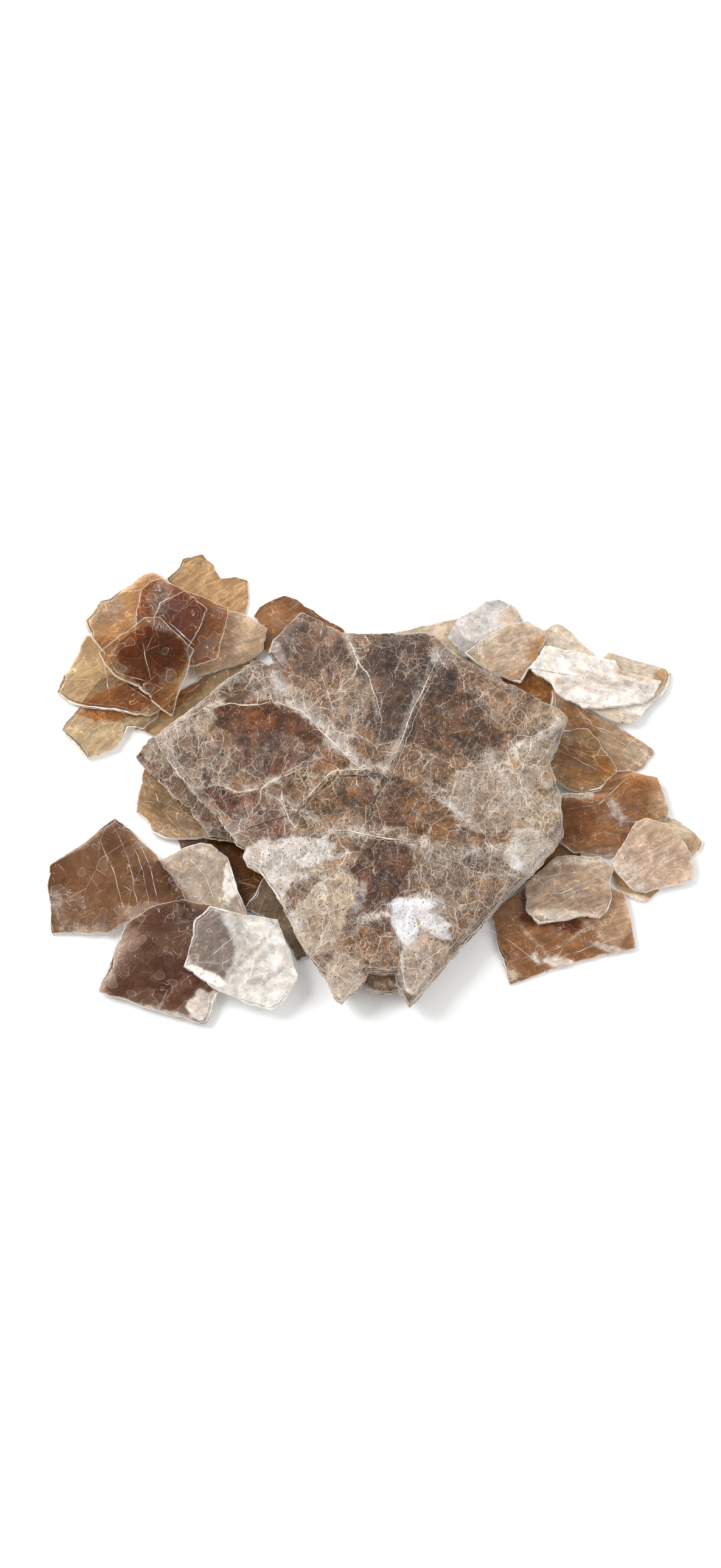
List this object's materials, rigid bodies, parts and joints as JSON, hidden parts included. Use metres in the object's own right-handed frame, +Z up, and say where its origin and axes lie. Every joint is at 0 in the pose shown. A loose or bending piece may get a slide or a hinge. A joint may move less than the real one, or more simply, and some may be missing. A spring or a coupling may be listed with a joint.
{
  "type": "mica crystal",
  "caption": "Mica specimen lying flat: a thick, broad book of mica with thin, see-through amber, brown and silver cleavage leaves fanned out and tucked under its rim.",
  "frame": {"origin": "middle of the specimen's outline on the surface it rests on", "axes": "+Z up across the cleavage, +X along the longest way, to the right, +Y to the back, towards the book's head"},
  "size_m": [0.1562, 0.12, 0.0081],
  "materials": {
    "book_mica": "glossy cleavage face with a crackled, frosted surface",
    "pale_mica": "glossy, see-through cleavage leaf with frosted edges",
    "amber_mica": "glossy, see-through cleavage leaf with frosted edges",
    "tan_mica": "glossy, see-through cleavage leaf with frosted edges",
    "brown_mica": "glossy, see-through cleavage leaf with frosted edges",
    "rust_mica": "glossy, see-through cleavage leaf with frosted edges",
    "silver_mica": "glossy, see-through cleavage leaf with frosted edges"
  },
  "bodies": {
    "root": {"mica_book": "book_mica", "long_amber_leaf": "amber_mica", "crown_leaf": "amber_mica", "lower_left_leaf": "amber_mica", "head_leaf": "brown_mica", "left_amber_leaf": "amber_mica", "upper_left_leaf": "amber_mica", "fan_amber_leaf": "amber_mica", "deep_brown_leaf": "brown_mica", "small_brown_leaf": "brown_mica", "front_pentagon_leaf": "brown_mica", "pale_back_leaf": "pale_mica", "beige_back_leaf": "pale_mica", "orange_leaf": "amber_mica", "long_tan_leaf": "tan_mica", "white_peak_leaf": "silver_mica", "tan_back_leaf": "tan_mica", "beige_slab_leaf": "pale_mica", "silver_leaf": "silver_mica", "round_brown_leaf": "amber_mica", "under_hexagon_leaf": "tan_mica", "golden_leaf": "amber_mica", "square_leaf": "rust_mica", "oval_leaf": "tan_mica", "back_hexagon_leaf": "tan_mica", "rust_leaf": "rust_mica", "hexagon_leaf": "tan_mica", "olive_leaf": "brown_mica", "grey_leaf": "tan_mica", "left_tucked_leaf": "tan_mica", "pale_front_leaf": "silver_mica", "wide_brown_leaf": "brown_mica", "dark_block_leaf": "brown_mica", "clear_leaf": "silver_mica"}
  },
  "joints": []
}
